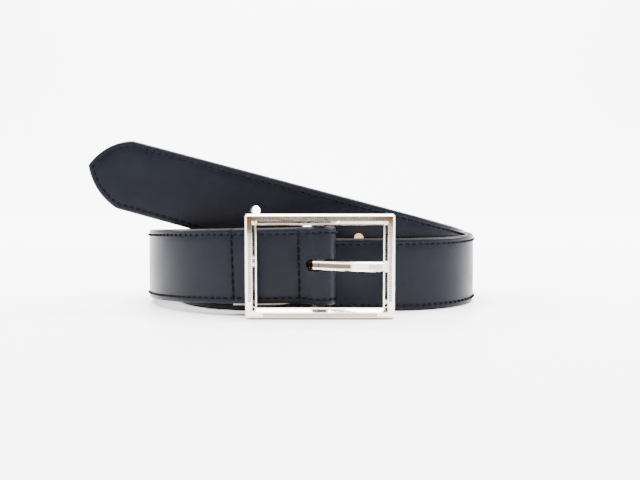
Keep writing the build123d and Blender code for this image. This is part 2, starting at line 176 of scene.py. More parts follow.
INNER_BACK_R = 2 * INNER_LEFT_R - FRONT_RIGHT_R
INNER_LEFT_X = RIGHT_X - FRONT_RIGHT_R - INNER_FRONT_RUN
INNER_BACK_RUN = RIGHT_X - NEST - INNER_BACK_R - INNER_LEFT_X
TAIL_LEN = TAIL_RUN / cos(radians(TAIL_SLOPE))
RISE = tan(radians(TAIL_SLOPE))
FACE_BACK = HALF_T - FACE_T
CORE_BACK = FACE_BACK - CORE_T


def turned(vector, angle):
    """Turn a plan vector by an angle in degrees."""
    c, s = cos(radians(angle)), sin(radians(angle))
    return vector[0] * c - vector[1] * s, vector[0] * s + vector[1] * c


def belt_walk():
    """Every leg of the strap's path in plan: (first point, heading, length, radius, side)."""
    flap_angle = degrees((FLAP_LEN - FRONT_RUN) / FLAP_R)
    out = turned((0, -FLAP_R), -flap_angle)
    place = (out[0] - FRONT_RUN, out[1] + CENTRE_Y)
    heading = -flap_angle
    turns = [
        (FLAP_R, flap_angle), FRONT_RUN - EASE_X, (REVERSE_R, EASE_ANGLE),
        (FOLD_R, -180 - 2 * EASE_ANGLE), (REVERSE_R, EASE_ANGLE), FRONT_RUN - EASE_X,
        (LEFT_R, -180), BACK_RUN,
        (BACK_RIGHT_R, -90), (FRONT_RIGHT_R, -90), INNER_FRONT_RUN, (INNER_LEFT_R, -180),
        INNER_BACK_RUN,
        (INNER_BACK_R, -90), (TAIL_R, -TAIL_YAW),
        (TAIL_R, -90), TAIL_RUN,
    ]
    legs = []
    for turn in turns:
        radius, sweep = turn if isinstance(turn, tuple) else (None, turn)
        side = 1 if sweep > 0 else -1
        length = sweep if radius is None else radius * radians(abs(sweep))
        leg = (place, heading, length, radius, side)
        legs.append(leg)
        place, heading = leg_point(leg, length)
    return legs


def leg_point(leg, distance):
    """The plan point and the heading at a distance along one leg."""
    start, heading, _, radius, side = leg
    if radius is None:
        d = turned((1, 0), heading)
        return (start[0] + d[0] * distance, start[1] + d[1] * distance), heading
    left = turned((0, 1), heading)
    centre = (start[0] + left[0] * radius * side, start[1] + left[1] * radius * side)
    heading += side * degrees(distance / radius)
    left = turned((0, 1), heading)
    return (centre[0] - left[0] * radius * side, centre[1] - left[1] * radius * side), heading


LEGS = belt_walk()
ENDS = np.cumsum([leg[2] for leg in LEGS])
FOLD_LEG, TURN_LEG, BACK_LEG, LEVEL_LEG, RISE_LEG, BEND_LEG = 3, 6, 7, 12, 14, 15
LIFTED_END = ENDS[BACK_LEG]
LEVEL_END = ENDS[LEVEL_LEG]
RISE_END = ENDS[RISE_LEG]
TAIL_START = ENDS[BEND_LEG]
BEND_LEN = LEGS[BEND_LEG][2]
FOLD_START = ENDS[FOLD_LEG - 2]
FOLD_END = ENDS[FOLD_LEG + 1]


def walk_at(distance):
    """The plan point and the unit vector to the left at a distance along the whole path."""
    number = min(int(np.searchsorted(ENDS, distance)), len(LEGS) - 1)
    before = ENDS[number] - LEGS[number][2]
    place, heading = leg_point(LEGS[number], distance - before)
    return place, turned((0, 1), heading)


AWAY = turned((1, 0), LIFT_BEARING)
LIFT_FOOT = walk_at(LIFTED_END)[0]
LIFT_RUN = (FRONT_Y - LIFT_FOOT[1]) * AWAY[1] - LIFT_FOOT[0] * AWAY[0]


def centre_height(distance):
    """The height of the strap's centre line, before smoothing."""
    if distance < LIFTED_END:
        x, y = walk_at(distance)[0]
        return max(0, LIFT + LIFT / LIFT_RUN * (x * AWAY[0] + (y - FRONT_Y) * AWAY[1])) + HALF_W
    if distance < LEVEL_END:
        return HALF_W
    if distance < RISE_END:
        start, end, here = (walk_at(s)[0] for s in (LEVEL_END, RISE_END, distance))
        d = turned((1, 0), LEGS[BEND_LEG][1])
        run = (end[0] - start[0]) * d[0] + (end[1] - start[1]) * d[1]
        part = ((here[0] - start[0]) * d[0] + (here[1] - start[1]) * d[1]) / run
        return BEND_FOOT * part + HALF_W
    if distance < TAIL_START:
        t = (distance - RISE_END) / BEND_LEN
        foot = BEND_FOOT * (1 - 3 * t ** 2 + 2 * t ** 3) + TAIL_FOOT * (3 * t ** 2 - 2 * t ** 3)
        foot += BEND_LEN * (BEND_SLOPE * (t - 2 * t ** 2 + t ** 3) + RISE * (t ** 3 - t ** 2))
        return foot + HALF_W * (1 + (1 / cos(radians(TAIL_SLOPE)) - 1) * t)
    return TAIL_FOOT + HALF_W / cos(radians(TAIL_SLOPE)) + (distance - TAIL_START) * RISE


TABLE_STEPS = np.arange(-TABLE_MARGIN, ENDS[-1] + TABLE_MARGIN, 1.0)
RAW_HEIGHTS = np.array([centre_height(s) for s in TABLE_STEPS])
KERNEL = np.ones(WINDOW) / WINDOW
HEIGHTS = RAW_HEIGHTS.copy()
HEIGHTS[WINDOW:-WINDOW] = np.convolve(RAW_HEIGHTS, KERNEL, mode="same")[WINDOW:-WINDOW]
SLOPES = np.arctan(np.gradient(HEIGHTS, TABLE_STEPS))


def sway(u, w):
    """How far the leather stands off its ideal surface, the same for every layer."""
    if u < FOLD_END + SWAY_START:
        return 0.0
    ease = min(1, (u - FOLD_END - SWAY_START) / SWAY_EASE)
    wave = SWAY_DEPTH * sin(u / SWAY_ALONG + w / SWAY_ACROSS)
    roll = ROLL_DEPTH * sin(u / ROLL_ALONG + ROLL_START) * cos(w / ROLL_ACROSS + u / ROLL_DRIFT)
    return (wave + roll) * ease


def spread(u, w):
    """The doubled leather spreads where it turns round the bar, and the flap sits a little low."""
    middle = (FOLD_START + FOLD_END) / 2
    near = exp(-((u - middle) / SPREAD_RUN) ** 4)
    w += near * (SPREAD_TOP * max(0, w) + SPREAD_FOOT * min(0, w)) / HALF_W
    low = min(1, max(0, (FOLD_START - u) / DROP_RUN))
    return w - FLAP_DROP * low * low * (3 - 2 * low)


def spot(u, w, n):
    """Flat strap to space: u along the centre line, w across (up), n through (grain outward)."""
    w = spread(u, w)
    if u <= TAIL_START:
        slope = float(np.interp(u, TABLE_STEPS, SLOPES))
        height = float(np.interp(u, TABLE_STEPS, HEIGHTS))
        along = u
    else:
        slope = radians(TAIL_SLOPE)
        height = centre_height(TAIL_START) + (u - TAIL_START) * sin(slope)
        along = TAIL_START + (u - TAIL_START) * cos(slope)
    place, left = walk_at(along - w * sin(slope))
    n += sway(u, w)
    z = height + w * cos(slope)
    return (place[0] + left[0] * n) * MM, (place[1] + left[1] * n) * MM, z * MM


TIP_START = TAIL_LEN - TIP_RUN
CHORD = hypot(POINT_LEN, HALF_W)
SINK = sqrt(POINT_R ** 2 - (CHORD / 2) ** 2)
POINT_CENTRE = (TAIL_LEN - POINT_LEN / 2 - HALF_W / CHORD * SINK, HALF_W / 2 - POINT_LEN / CHORD * SINK)


def row_point(column, inset):
    """Along and across the tail for one column of a row that keeps its inset round the point."""
    if column <= 0:
        return TIP_START + column, HALF_W - inset
    radius = POINT_R - inset
    edge = HALF_W - inset
    cx, cy = POINT_CENTRE
    corner = cx + sqrt(max(0, radius ** 2 - (edge - cy) ** 2))
    tip = cx + sqrt(max(0, radius ** 2 - cy ** 2))
    first = atan2(edge - cy, corner - cx)
    last = atan2(-cy, tip - cx)
    straight = corner - TIP_START
    total = straight + radius * (first - last)
    done = total * column / TIP_COLUMNS
    if done <= straight:
        return TIP_START + done, edge
    angle = first - (done - straight) / radius
    if column == TIP_COLUMNS:
        return tip, 0.0
    return cx + radius * cos(angle), cy + radius * sin(angle)


def cross_places(from_bar):
    """Where a cross line lies on the flap and on the front, measured from the bar."""
    straight = min(from_bar, FRONT_RUN) - EASE_X
    ratio = LEFT_R / FLAP_R if from_bar > FRONT_RUN else 1
    return FLAP_LEN - from_bar, FOLD_END + straight + max(0, from_bar - FRONT_RUN) * ratio


BAR_ROWS = cross_places(EASE_X + CROSS_SETBACK)
FLAP_ROWS = cross_places(FLAP_LEN - FLAP_STITCH_INSET)
CROSS_ROWS = (*BAR_ROWS, *FLAP_ROWS)


def path_columns(start=0.0):
    """Distances along the strap for the mesh's columns, closer together in the tight fold."""
    marks = []
    for number, leg in enumerate(LEGS[:-1]):
        count = max(1, round(leg[2] / FOLD_STEPS.get(number, PLAIN_STEP)))
        first = ENDS[number] - leg[2]
        marks += [first + leg[2] * part / count for part in range(count)]
    count = round(TIP_START / PLAIN_STEP)
    marks += [TAIL_START + TIP_START * part / count for part in range(count)]
    marks = [mark for mark in marks if all(abs(mark - row) > CREASE_CLEAR for row in CROSS_ROWS)]
    marks = sorted(marks + [row + step for row in CROSS_ROWS for step in CREASE_STEPS])
    return [start] + [mark for mark in marks if mark > start + COLUMN_GAP]


def column_place(column, marks, inset):
    """u and w of a row in a column, for the upper half of the strap."""
    if column < len(marks):
        return marks[column], HALF_W - inset
    along, across = row_point(column - len(marks), inset)
    return TAIL_START + along, across


def pucker(u, w, n):
    """Small gathers beside the stitching at the fold, and the crease that each cross row pulls."""
    if n <= FACE_BACK or abs(w) > HALF_W - EDGE_CLEAR:
        return 0.0
    beside = exp(-((u - BAR_ROWS[1] - GATHER_RUN) / GATHER_RUN) ** 2)
    gather = GATHER_DEPTH * cos(2 * pi * w / CROSS_PITCH) * beside
    crease = sum(CREASE_DEPTH * exp(-((u - row) / CREASE_RUN) ** 2) for row in CROSS_ROWS)
    return (gather if abs(w) < HALF_W - STITCH_INSET else 0.0) - crease


def put_in_scene(name, data):
    """A new object with this mesh, light or camera, linked to the scene."""
    piece = bpy.data.objects.new(name, data)
    bpy.context.scene.collection.objects.link(piece)
    return piece


def face_outward(mesh, merge=None):
    """Turn every face outward, after merging doubled points when a distance is given."""
    work = bmesh.new()
    work.from_mesh(mesh)
    if merge:
        bmesh.ops.remove_doubles(work, verts=work.verts, dist=merge)
    bmesh.ops.recalc_face_normals(work, faces=work.faces)
    work.to_mesh(mesh)
    work.free()


def layer_faces(columns, profile):
    """Faces of both halves of a layer and its end cap, and whether each is painted edge."""
    rows = len(profile)
    faces, painted = [], []
    for half in (0, 1):
        base = half * columns * rows
        for column in range(columns - 1):
            for row in range(rows - 1):
                a = base + column * rows + row
                quad = (a, a + 1, a + rows + 1, a + rows)
                faces.append(quad if half == 0 else quad[::-1])
                painted.append(int(max(profile[row][0], profile[row + 1][0]) <= EDGE_PAINT))
    faces.append(list(range(rows - 1, -1, -1)) + [columns * rows + row for row in range(rows)])
    painted.append(1)
    return faces, painted


def strap_layer(name, profile, material, edge):
    """One layer of leather: a half profile of (inset, height) swept along the strap and mirrored."""
    marks = path_columns()
    columns = len(marks) + TIP_COLUMNS + 1
    verts, uvs = [], []
    for side in (1, -1):
        for column in range(columns):
            for inset, n in profile:
                u, w = column_place(column, marks, inset)
                w *= side
                verts.append(spot(u, w, n + pucker(u, w, n)))
                uvs.append((u * MM, w * MM))
    faces, painted = layer_faces(columns, profile)
    mesh = bpy.data.meshes.new(name)
    mesh.from_pydata(verts, [], faces)
    mesh.polygons.foreach_set("material_index", painted)
    layer = mesh.uv_layers.new(name="flat")
    index = np.zeros(len(mesh.loops), dtype=np.int32)
    mesh.loops.foreach_get("vertex_index", index)
    layer.data.foreach_set("uv", np.array(uvs, dtype=np.float32)[index].ravel())
    face_outward(mesh, SEAM_MERGE * MM)
    mesh.materials.append(material)
    mesh.materials.append(edge)
    return put_in_scene(name, mesh)


def prism(points, centre, axis_x, axis_y, axis_z, depth):
    """A closed prism of an outline drawn in two axes and pushed both ways along the third."""
    ring = [centre + axis_x * x + axis_y * y for x, y in points]
    verts = [p - axis_z * depth for p in ring] + [p + axis_z * depth for p in ring]
    count = len(points)
    faces = [tuple(range(count))[::-1], tuple(range(count, 2 * count))]
    faces += [(i, (i + 1) % count, (i + 1) % count + count, i + count) for i in range(count)]
    return verts, faces


def circle(radius, count=32):
    """Points round a circle."""
    return [(radius * cos(2 * pi * i / count), radius * sin(2 * pi * i / count)) for i in range(count)]


def hole_prism(number):
    """The cutting cylinder of one punched hole, counted from the tip."""
    back = FIRST_HOLE + HOLE_PITCH * number
    plan = (TAIL_LEN - back) * cos(radians(TAIL_SLOPE))
    u = TAIL_START + (TAIL_LEN - back if plan >= 0 else plan)
    centre = Vector(spot(u, 0, 0))
    across = Vector((0, 0, 1))
    out = (Vector(spot(u, 0, HOLE_REACH)) - centre).normalized()
    return prism(circle(HOLE_R * MM), centre, across.cross(out), across, out, HOLE_REACH * MM)


def slot_prism():
    """The cutting block of the slot that lets the prong through the fold."""
    half = PRONG_W / 2 + SLOT_CLEAR
    left = -SLOT_END + half
    right = FOLD_R + HALF_T + CUT_SPARE
    angles = np.linspace(pi / 2, 3 * pi / 2, SLOT_POINTS)
    outline = [(left + half * cos(a), half * sin(a)) for a in angles]
    outline += [(right, -half), (right, half)]
    points = [(x * MM, z * MM) for x, z in outline]
    centre = Vector((0, BAR_Y * MM, MID_Z * MM))
    return prism(points, centre, Vector((1, 0, 0)), Vector((0, 0, 1)), Vector((0, 1, 0)), right * MM)


def cutter():
    """The punched holes and the prong's slot, as one cutting mesh."""
    verts, faces = [], []
    for corners, sides in [hole_prism(number) for number in range(HOLE_COUNT)] + [slot_prism()]:
        base = len(verts)
        verts += corners
        faces += [tuple(base + i for i in side) for side in sides]
    mesh = bpy.data.meshes.new("cutter")
    mesh.from_pydata(verts, [], faces)
    face_outward(mesh)
    return put_in_scene("cutter", mesh)


def settle(piece):
    """Turn a piece's modifiers into plain mesh."""
    graph = bpy.context.evaluated_depsgraph_get()
    mesh = bpy.data.meshes.new_from_object(piece.evaluated_get(graph))
    piece.modifiers.clear()
    mesh.name = piece.name
    piece.data = mesh


def punch(piece, tool):
    """Cut the holes and the slot out of a layer."""
    cut = piece.modifiers.new("punch", "BOOLEAN")
    cut.operation = "DIFFERENCE"
    cut.solver = "EXACT"
    cut.object = tool
    settle(piece)


def smooth(piece, angle):
    """Shade smooth, with edges kept sharp past an angle in degrees."""
    piece.data.polygons.foreach_set("use_smooth", [True] * len(piece.data.polygons))
    piece.data.set_sharp_from_angle(angle=radians(angle))


# ---- materials: linear colours, scales in cycles per metre, and spans in metres ----
SOFT_SHINE = 0.1
THREAD_SHINE = 0.08
WRINKLE_SHARE = 0.35
CLOUD_SCALE = 60.0
HAZE_SCALE = 140.0
TWIST_SCALE = 4000.0
DARK_TINT = 0.8
LIGHT_TINT = 1.2
PAINT_COLOUR = (0.006, 0.006, 0.008)
# The rib colour is the frame's nickel painted darker and warmer: painted shade on the ribbed strips and
# patch.
RIB_SHADE_COLOUR = (0.25, 0.21, 0.165)
# The bar's colour is dull metal painted very dark: painted shade for where it sits inside the fold by the
# rails.
BAR_SHADE_COLOUR = (0.20, 0.19, 0.18)
# The channel colour and its two spans paint shade into the groove down the prong's neck.
CHANNEL_SHADE_COLOUR = (0.085, 0.062, 0.045, 1)
CHANNEL_SIDE = (0.0009, 0.0012)
CHANNEL_END = (0.0136, 0.0150)
MIX_FACTOR, MIX_FIRST, MIX_SECOND, MIX_RESULT = 0, 6, 7, 2


def new_material(name, base, rough, metal=0.0):
    """A node material, with its tree and its shader."""
    material = bpy.data.materials.new(name)
    material.use_nodes = True
    shader = material.node_tree.nodes["Principled BSDF"]
    shader.inputs["Base Color"].default_value = (*base, 1)
    shader.inputs["Roughness"].default_value = rough
    shader.inputs["Metallic"].default_value = metal
    return material, material.node_tree, shader


def node(tree, kind, inputs=None, **settings):
    """Add a node, with each input linked to a socket or set to a value."""
    made = tree.nodes.new(kind)
    for key, value in settings.items():
        setattr(made, key, value)
    for key, value in (inputs or {}).items():
        if isinstance(value, bpy.types.NodeSocket):
            tree.links.new(value, made.inputs[key])
        else:
            made.inputs[key].default_value = value
    return made


def mix_colour(tree, factor, first, second):
    """The colour that lies between two colours by a factor."""
    ends = {MIX_FACTOR: factor, MIX_FIRST: first, MIX_SECOND: second}
    mix = node(tree, "ShaderNodeMix", ends, data_type="RGBA")
    return mix.outputs[MIX_RESULT]


def leather_material(name, base, rough, grain, depth):
    """Pebbled, lightly polished leather, mapped along the strap."""
    material, tree, shader = new_material(name, base, rough)
    shader.inputs["Specular IOR Level"].default_value = SOFT_SHINE
    coords = node(tree, "ShaderNodeTexCoord").outputs["UV"]
    cells = node(tree, "ShaderNodeTexVoronoi", {"Vector": coords, "Scale": grain}, feature="SMOOTH_F1")
    wrinkle = node(tree, "ShaderNodeTexNoise", {
        "Vector": coords, "Scale": grain * WRINKLE_SHARE, "Detail": 4.0})
    cloud = node(tree, "ShaderNodeTexNoise", {"Vector": coords, "Scale": CLOUD_SCALE, "Detail": 3.0})
    high = node(tree, "ShaderNodeMath", {
        0: cells.outputs["Distance"], 1: wrinkle.outputs["Fac"]}, operation="ADD")
    bump = node(tree, "ShaderNodeBump", {"Strength": 0.35, "Distance": depth, "Height": high.outputs[0]})
    tree.links.new(bump.outputs["Normal"], shader.inputs["Normal"])
    dull = node(tree, "ShaderNodeMapRange", {
        "Value": cloud.outputs["Fac"], "From Min": 0.3, "From Max": 0.7,
        "To Min": rough - 0.05, "To Max": rough + 0.06})
    tree.links.new(dull.outputs["Result"], shader.inputs["Roughness"])
    dark = tuple(c * DARK_TINT for c in base) + (1,)
    light = tuple(c * LIGHT_TINT for c in base) + (1,)
    tree.links.new(mix_colour(tree, cloud.outputs["Fac"], dark, light), shader.inputs["Base Color"])
    return material


def thread_material(base):
    """Dull waxed thread with a fine twist."""
    material, tree, shader = new_material("waxed_thread", base, rough=0.8)
    shader.inputs["Specular IOR Level"].default_value = THREAD_SHINE
    coords = node(tree, "ShaderNodeTexCoord").outputs["Object"]
    twist = node(tree, "ShaderNodeTexNoise", {"Vector": coords, "Scale": TWIST_SCALE, "Detail": 2.0})
    bump = node(tree, "ShaderNodeBump", {
        "Strength": 0.3, "Distance": 0.0001, "Height": twist.outputs["Fac"]})
    tree.links.new(bump.outputs["Normal"], shader.inputs["Normal"])
    return material


def metal_material(name, base, rough):
    """Plated or bare metal with a faint haze."""
    material, tree, shader = new_material(name, base, rough, metal=1.0)
    coords = node(tree, "ShaderNodeTexCoord").outputs["Object"]
    haze = node(tree, "ShaderNodeTexNoise", {"Vector": coords, "Scale": HAZE_SCALE, "Detail": 3.0})
    dull = node(tree, "ShaderNodeMapRange", {
        "Value": haze.outputs["Fac"], "From Min": 0.35, "From Max": 0.7,
        "To Min": rough - 0.02, "To Max": rough + 0.05})
    tree.links.new(dull.outputs["Result"], shader.inputs["Roughness"])
    return material


def fade(tree, value, span):
    """A factor that falls from one to nothing as a value crosses a span."""
    return node(tree, "ShaderNodeMapRange", {
        "Value": value, "From Min": span[0], "From Max": span[1],
        "To Min": 1.0, "To Max": 0.0}).outputs["Result"]


def shaded_channel(material):
    """Paint the channel down the prong's neck darker: painted shade for the groove."""
    tree = material.node_tree
    shader = tree.nodes["Principled BSDF"]
    coords = node(tree, "ShaderNodeTexCoord").outputs["Object"]
    way = node(tree, "ShaderNodeSeparateXYZ", {0: coords})
    off = node(tree, "ShaderNodeMath", {0: way.outputs["Z"], 1: MID_Z * MM}, operation="SUBTRACT")
    away = node(tree, "ShaderNodeMath", {0: off.outputs[0]}, operation="ABSOLUTE")
    across = fade(tree, away.outputs[0], CHANNEL_SIDE)
    along = fade(tree, way.outputs["X"], CHANNEL_END)
    both = node(tree, "ShaderNodeMath", {0: across, 1: along}, operation="MULTIPLY")
    plated = shader.inputs["Base Color"].default_value
    shaded = mix_colour(tree, both.outputs[0], plated, CHANNEL_SHADE_COLOUR)
    tree.links.new(shaded, shader.inputs["Base Color"])
    return material


# ---- rows of repeated shapes ----
def row_tree():
    """A node group that lays one small arched bar after another along a line."""
    tree = bpy.data.node_groups.new("bar_row", "GeometryNodeTree")
    face = tree.interface
    face.new_socket("Geometry", in_out="INPUT", socket_type="NodeSocketGeometry")
    for name in ("Pitch", "Thickness"):
        socket = face.new_socket(name, in_out="INPUT", socket_type="NodeSocketFloat")
        socket.subtype = "DISTANCE"
    for name in ("Half Span", "Crest"):
        face.new_socket(name, in_out="INPUT", socket_type="NodeSocketVector")
    face.new_socket("Material", in_out="INPUT", socket_type="NodeSocketMaterial")
    face.new_socket("Geometry", in_out="OUTPUT", socket_type="NodeSocketGeometry")
    given = node(tree, "NodeGroupInput").outputs
    line = node(tree, "GeometryNodeMeshToCurve", {"Mesh": given["Geometry"]})
    even = node(tree, "GeometryNodeResampleCurve", {
        "Curve": line.outputs[0], "Length": given["Pitch"]}, mode="LENGTH")
    back = node(tree, "ShaderNodeVectorMath", {0: given["Half Span"], "Scale": -1.0}, operation="SCALE")
    arch = node(tree, "GeometryNodeCurveQuadraticBezier", {
        "Resolution": 5, "Start": back.outputs[0], "Middle": given["Crest"], "End": given["Half Span"]})
    ring = node(tree, "GeometryNodeCurvePrimitiveCircle", {"Resolution": 6, "Radius": given["Thickness"]})
    bar = node(tree, "GeometryNodeCurveToMesh", {
        "Curve": arch.outputs[0], "Profile Curve": ring.outputs[0], "Fill Caps": True})
    outward = node(tree, "GeometryNodeInputNamedAttribute", {"Name": "outward"}, data_type="FLOAT_VECTOR")
    stand = node(tree, "FunctionNodeAlignRotationToVector", {"Vector": outward.outputs[0]}, axis="Z")
    way = node(tree, "GeometryNodeInputTangent")
    turn = node(tree, "FunctionNodeAlignRotationToVector", {
        "Rotation": stand.outputs[0], "Vector": way.outputs[0]}, axis="X", pivot_axis="Z")
    laid = node(tree, "GeometryNodeInstanceOnPoints", {
        "Points": even.outputs[0], "Instance": bar.outputs[0], "Rotation": turn.outputs[0]})
    real = node(tree, "GeometryNodeRealizeInstances", {"Geometry": laid.outputs[0]})
    soft = node(tree, "GeometryNodeSetShadeSmooth", {"Geometry": real.outputs[0]})
    dressed = node(tree, "GeometryNodeSetMaterial", {
        "Geometry": soft.outputs[0], "Material": given["Material"]})
    node(tree, "NodeGroupOutput", {"Geometry": dressed.outputs[0]})
    return tree


def lay_row(name, lines, values):
    """A piece made of rows of bars, laid along lines of (place, outward) pairs."""
    mesh = bpy.data.meshes.new(name)
    verts = [place for line in lines for place, _ in line]
    outs = [out for line in lines for _, out in line]
    edges, base = [], 0
    for line in lines:
        edges += [(base + i, base + i + 1) for i in range(len(line) - 1)]
        base += len(line)
    mesh.from_pydata(verts, edges, [])
    outward = mesh.attributes.new("outward", "FLOAT_VECTOR", "POINT")
    outward.data.foreach_set("vector", np.array(outs, dtype=np.float32).ravel())
    piece = put_in_scene(name, mesh)
    rows = piece.modifiers.new("rows", "NODES")
    rows.node_group = bpy.data.node_groups.get("bar_row") or row_tree()
    sockets = {s.name: s.identifier for s in rows.node_group.interface.items_tree if s.in_out == "INPUT"}
    for key, value in values.items():
        rows[sockets[key]] = value
    settle(piece)
    return piece


def strap_line(inset, n, start=0.0, face=1):
    """Both long edges and the point, as one line of places with the way out of the leather."""
    marks = path_columns(start)
    line = []
    for side in (1, -1):
        half = []
        for column in range(len(marks) + TIP_COLUMNS + 1):
            u, w = column_place(column, marks, inset)
            w *= side
            place = Vector(spot(u, w, n))
            half.append((place, (Vector(spot(u, w, n + face)) - place).normalized()))
        line += half if side == 1 else half[-2::-1]
    return line


def cross_line(u, n):
    """A line across the strap on its grain side."""
    reach = HALF_W - STITCH_INSET - CROSS_MARGIN
    line = []
    for part in np.linspace(-1, 1, CROSS_POINTS):
        place = Vector(spot(u, part * reach, n))
        line.append((place, (Vector(spot(u, part * reach, n + 1)) - place).normalized()))
    return line


class BeltSizes(bpy.types.PropertyGroup):
    """Sizes of the small repeated shapes."""

    pitch: bpy.props.FloatProperty(
        name="Stitch pitch", description="Distance from one stitch to the next",
        default=0.0034, min=0.002, max=0.006, unit="LENGTH")
    stitch: bpy.props.FloatProperty(
        name="Stitch length", description="Length of the thread seen in one stitch",
        default=0.0019, min=0.001, max=0.004, unit="LENGTH")
    thread: bpy.props.FloatProperty(
        name="Thread thickness", description="Diameter of the thread",
        default=0.0011, min=0.0003, max=0.0015, unit="LENGTH")
    rib: bpy.props.FloatProperty(
        name="Rib pitch", description="Distance from one rib of the frame to the next",
        default=0.0008, min=0.0005, max=0.002, unit="LENGTH")


class BeltLooks(bpy.types.PropertyGroup):
    """Colours of the leather, thread and metal, and the studio's brightness."""

    leather: bpy.props.FloatVectorProperty(
        name="Leather", description="Colour of the grain side",
        default=(0.0058, 0.0069, 0.0114), size=3, min=0, max=1, subtype="COLOR")
    lining: bpy.props.FloatVectorProperty(
        name="Lining", description="Colour of the lining side",
        default=(0.50, 0.35, 0.23), size=3, min=0, max=1, subtype="COLOR")
    core: bpy.props.FloatVectorProperty(
        name="Core", description="Colour of the board between the leathers",
        default=(0.16, 0.085, 0.045), size=3, min=0, max=1, subtype="COLOR")
    thread: bpy.props.FloatVectorProperty(
        name="Thread", description="Colour of the stitching",
        default=(0.0022, 0.0026, 0.005), size=3, min=0, max=1, subtype="COLOR")
    metal: bpy.props.FloatVectorProperty(
        name="Metal", description="Colour of the buckle's plating",
        default=(0.78, 0.73, 0.665), size=3, min=0, max=1, subtype="COLOR")
    light: bpy.props.FloatProperty(
        name="Studio light", description="Power of the overhead softbox",
        default=115.0, min=0, max=500, unit="POWER")


# ---- the layers' sections: inset from the edge, and height through the strap ----
FACE_PROFILE = [
    (HALF_W, 2.0), (14.5, 2.0), (11.5, 2.0), (8.5, 1.99), (6.2, 1.97), (4.6, 1.94), (3.7, 1.89),
    (3.15, 1.86), (STITCH_INSET, 1.84), (2.3, 1.87), (1.9, 1.92), (1.4, 1.94), (0.95, 1.88), (0.6, 1.74),
    (0.33, 1.52), (0.14, 1.24), (0.03, 0.92), (0.0, 0.6), (0.03, FACE_BACK), (STITCH_INSET, FACE_BACK),
    (8.5, FACE_BACK), (HALF_W, FACE_BACK),
]
CORE_PROFILE = [
    (HALF_W, FACE_BACK), (8.5, FACE_BACK), (STITCH_INSET, FACE_BACK), (0.1, FACE_BACK), (0.05, 0.1),
    (0.05, -0.3), (0.1, CORE_BACK), (STITCH_INSET, CORE_BACK), (8.5, CORE_BACK), (HALF_W, CORE_BACK),
]
LINING_PROFILE = [
    (HALF_W, CORE_BACK), (8.5, CORE_BACK), (STITCH_INSET, CORE_BACK), (0.03, CORE_BACK), (0.0, -0.8),
    (0.03, -1.15), (0.14, -1.45), (0.33, -1.68), (0.6, -1.84), (0.95, -1.93), (1.4, -1.96),
    (2.0, -1.93), (STITCH_INSET, -1.87), (3.4, -1.94), (5.0, -1.98), (8.5, -2.0), (13.0, -2.0),
    (HALF_W, -2.0),
]


class BELT_OT_strap(bpy.types.Operator):
    """Builds the strap's grain leather, core board and lining"""

    bl_idname = "belt.strap"
    bl_label = "Build strap"

    def execute(self, context):
        looks = context.scene.belt_looks
        grain = leather_material(
            "grain_leather_look", looks.leather, rough=0.34, grain=1500.0, depth=0.00012)
        board = leather_material("core_board_look", looks.core, rough=0.75, grain=2500.0, depth=0.0002)
        lining = leather_material("lining_look", looks.lining, rough=0.62, grain=900.0, depth=0.0003)
        layers = (
            ("strap_grain_side", FACE_PROFILE, grain, "strap_face", "grain_leather"),
            ("strap_board", CORE_PROFILE, board, "strap_core", "core_board"),
            ("strap_lining_side", LINING_PROFILE, lining, "strap_lining", "lining_leather"),
        )
        paint, _, shader = new_material("edge_paint_look", PAINT_COLOUR, rough=0.6)
        shader.inputs["Specular IOR Level"].default_value = SOFT_SHINE
        tool = cutter()
        for name, profile, material, stands_for, slot in layers:
            piece = strap_layer(name, profile, material, paint)
            punch(piece, tool)
            smooth(piece, 40)
            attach(piece, "root")
            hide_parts(stands_for)
        bpy.data.objects.remove(tool)
        return {"FINISHED"}


class BELT_OT_stitching(bpy.types.Operator):
    """Lays the edge stitching and the cross stitching"""

    bl_idname = "belt.stitching"
    bl_label = "Lay stitching"

    def execute(self, context):
        sizes = context.scene.belt_sizes
        material = thread_material(context.scene.belt_looks.thread)
        half = sizes.stitch / 2
        values = {
            "Pitch": sizes.pitch, "Thickness": sizes.thread / 2,
            "Half Span": (half, 0, -sizes.thread * STITCH_DIP),
            "Crest": (0, 0, sizes.thread * STITCH_CREST), "Material": material}
        cross = dict(values, Pitch=CROSS_PITCH * MM)
        cross["Half Span"] = (half * CROSS_REACH, 0, -sizes.thread * CROSS_DIP)
        bare = ENDS[TURN_LEG - 1] + (FLAP_LEN - FRONT_RUN) * LEFT_R / FLAP_R + BARE_MARGIN
        bar_lines = [cross_line(u, CROSS_SEAT) for u in BAR_ROWS]
        flap_lines = [cross_line(u, CROSS_SEAT) for u in FLAP_ROWS]
        needle_line = strap_line(STITCH_INSET, NEEDLE_SEAT)
        bobbin_line = strap_line(STITCH_INSET, BOBBIN_SEAT, start=bare, face=-1)
        rows = (
            ("needle_stitches", "needle_thread", [needle_line], values),
            ("bobbin_stitches", "bobbin_thread", [bobbin_line], values),
            ("bar_cross_stitches", "bar_cross_stitch", bar_lines, cross),
            ("flap_cross_stitches", "flap_cross_stitch", flap_lines, cross),
        )
        for name, stands_for, lines, settings in rows:
            piece = lay_row(name, lines, settings)
            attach(piece, "root")
            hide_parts(stands_for)
        return {"FINISHED"}


def dress(name, material):
    """Give a solid of the frame a better material."""
    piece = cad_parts[name]
    for slot in piece.material_slots:
        slot.link = "OBJECT"
        slot.material = material


OUTWARD = Vector((0, -1, 0))


